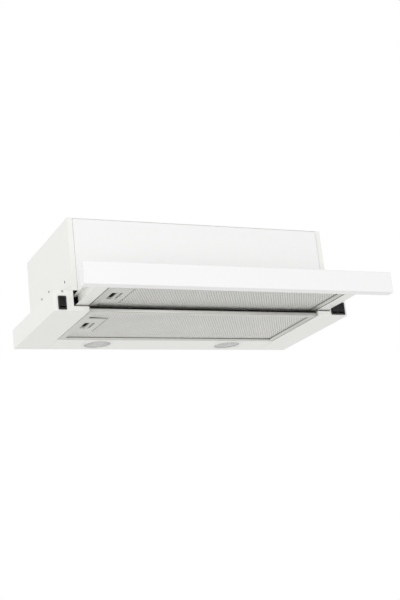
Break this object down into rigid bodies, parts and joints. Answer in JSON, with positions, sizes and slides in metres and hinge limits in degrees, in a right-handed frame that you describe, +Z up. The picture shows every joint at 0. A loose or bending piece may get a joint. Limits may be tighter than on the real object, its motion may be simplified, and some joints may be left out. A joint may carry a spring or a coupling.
{
  "type": "telescopic cooker hood",
  "caption": "Built-in telescopic cooker hood: white steel box between two ears, pull-out filter tray with a full-width visor, lamps, rocker switches, blower and duct spigot.",
  "frame": {"origin": "middle of the cabinet screw pattern, on the plane of the two ears' tops", "axes": "+X to the hood's right, +Y to its back, +Z up; the tray pulls out towards -Y"},
  "size_m": [0.598, 0.425, 0.208],
  "materials": {
    "white_enamel": "glossy white powder coat on folded steel sheet",
    "white_plastic": "moulded white plastic",
    "black_plastic": "moulded black plastic",
    "rocker_plastic": "moulded black plastic, polished",
    "filter_aluminium": "rolled foil frame, satin",
    "filter_mesh": "perforated and expanded aluminium sheet",
    "latch_aluminium": "pressed plate, satin",
    "latch_plastic": "pale grey moulding",
    "lamp_glass": "frosted lamp glass",
    "reflector": "polished reflector",
    "zinc_steel": "zinc-plated steel",
    "galvanised_steel": "galvanised steel sheet",
    "nylon": "black moulded nylon",
    "blower_plastic": "black polypropylene moulding",
    "flap_plastic": "dark moulded flap",
    "motor_steel": "drawn steel motor can"
  },
  "bodies": {
    "casing": {"left_side_panel": "white_enamel", "right_side_panel": "white_enamel", "front_fascia": "white_enamel", "rear_panel": "white_enamel", "top_panel": "white_enamel", "left_skirt": "white_enamel", "right_skirt": "white_enamel", "lamp_panel": "white_enamel", "casing_screws": "zinc_steel", "left_lamp_bezel": "white_plastic", "right_lamp_bezel": "white_plastic", "left_lamp_lens": "lamp_glass", "right_lamp_lens": "lamp_glass", "left_lamp_cup": "reflector", "right_lamp_cup": "reflector", "left_slide_rail": "galvanised_steel", "right_slide_rail": "galvanised_steel", "front_glides": "nylon", "left_switch_housing": "black_plastic", "right_switch_housing": "black_plastic", "blower_housing": "blower_plastic", "blower_screws": "zinc_steel", "motor": "motor_steel", "motor_bracket": "galvanised_steel", "motor_capacitor": "white_plastic", "duct_spigot": "blower_plastic", "flap_rod": "zinc_steel", "terminal_box": "blower_plastic", "terminal_lid": "blower_plastic", "cable_gland": "black_plastic"},
    "tray": {"visor": "white_enamel", "tray_front_member": "white_enamel", "tray_rear_member": "white_enamel", "tray_left_runner": "white_enamel", "tray_right_runner": "white_enamel", "tray_cover": "white_enamel", "rear_glides": "nylon", "visor_screws": "zinc_steel", "tray_filter_frame": "filter_aluminium", "tray_filter_mesh": "filter_mesh", "tray_latch_plate": "latch_aluminium"},
    "tray_latch": {"tray_latch_lever": "latch_plastic"},
    "fixed_filter": {"fixed_filter_frame": "filter_aluminium", "fixed_filter_mesh": "filter_mesh", "fixed_latch_plate": "latch_aluminium"},
    "fixed_latch": {"fixed_latch_lever": "latch_plastic"},
    "light_switch": {"light_rocker": "rocker_plastic"},
    "fan_switch": {"fan_rocker": "rocker_plastic"},
    "speed_switch": {"speed_rocker": "rocker_plastic"},
    "fan_wheel": {"impeller": "blower_plastic", "motor_shaft": "zinc_steel"},
    "left_flap": {"left_flap": "flap_plastic"},
    "right_flap": {"right_flap": "flap_plastic"}
  },
  "joints": [
    {"name": "tray_slide", "type": "slide", "parent": "casing", "child": "tray", "axis": [0, 1, 0], "range_m": [0, 0.144]},
    {"name": "fixed_filter_drop", "type": "hinge", "parent": "casing", "child": "fixed_filter", "pos_m": [0.2335, -0.034, -0.038], "axis": [0, -1, 0], "range_deg": [0, 30]},
    {"name": "tray_latch_slide", "type": "slide", "parent": "tray", "child": "tray_latch", "axis": [1, 0, 0], "range_m": [0, 0.003], "stiffness_N_per_m": 400},
    {"name": "fixed_latch_slide", "type": "slide", "parent": "fixed_filter", "child": "fixed_latch", "axis": [1, 0, 0], "range_m": [0, 0.003], "stiffness_N_per_m": 400},
    {"name": "light_rocker_tilt", "type": "hinge", "parent": "casing", "child": "light_switch", "pos_m": [-0.2833, -0.128, -0.0233], "axis": [1, 0, 0], "range_deg": [0, 20]},
    {"name": "fan_rocker_tilt", "type": "hinge", "parent": "casing", "child": "fan_switch", "pos_m": [0.27245, -0.128, -0.0233], "axis": [1, 0, 0], "range_deg": [0, 20]},
    {"name": "speed_rocker_tilt", "type": "hinge", "parent": "casing", "child": "speed_switch", "pos_m": [0.28675, -0.128, -0.0233], "axis": [1, 0, 0], "range_deg": [0, 20]},
    {"name": "fan_spin", "type": "hinge", "parent": "casing", "child": "fan_wheel", "pos_m": [0, -0.016, 0.063], "axis": [1, 0, 0], "continuous": true},
    {"name": "left_flap_hinge", "type": "hinge", "parent": "casing", "child": "left_flap", "pos_m": [0, 0.007, 0.146], "axis": [0, 1, 0], "range_deg": [0, 70]},
    {"name": "right_flap_hinge", "type": "hinge", "parent": "casing", "child": "right_flap", "pos_m": [0, 0.007, 0.146], "axis": [0, -1, 0], "range_deg": [0, 70]}
  ]
}
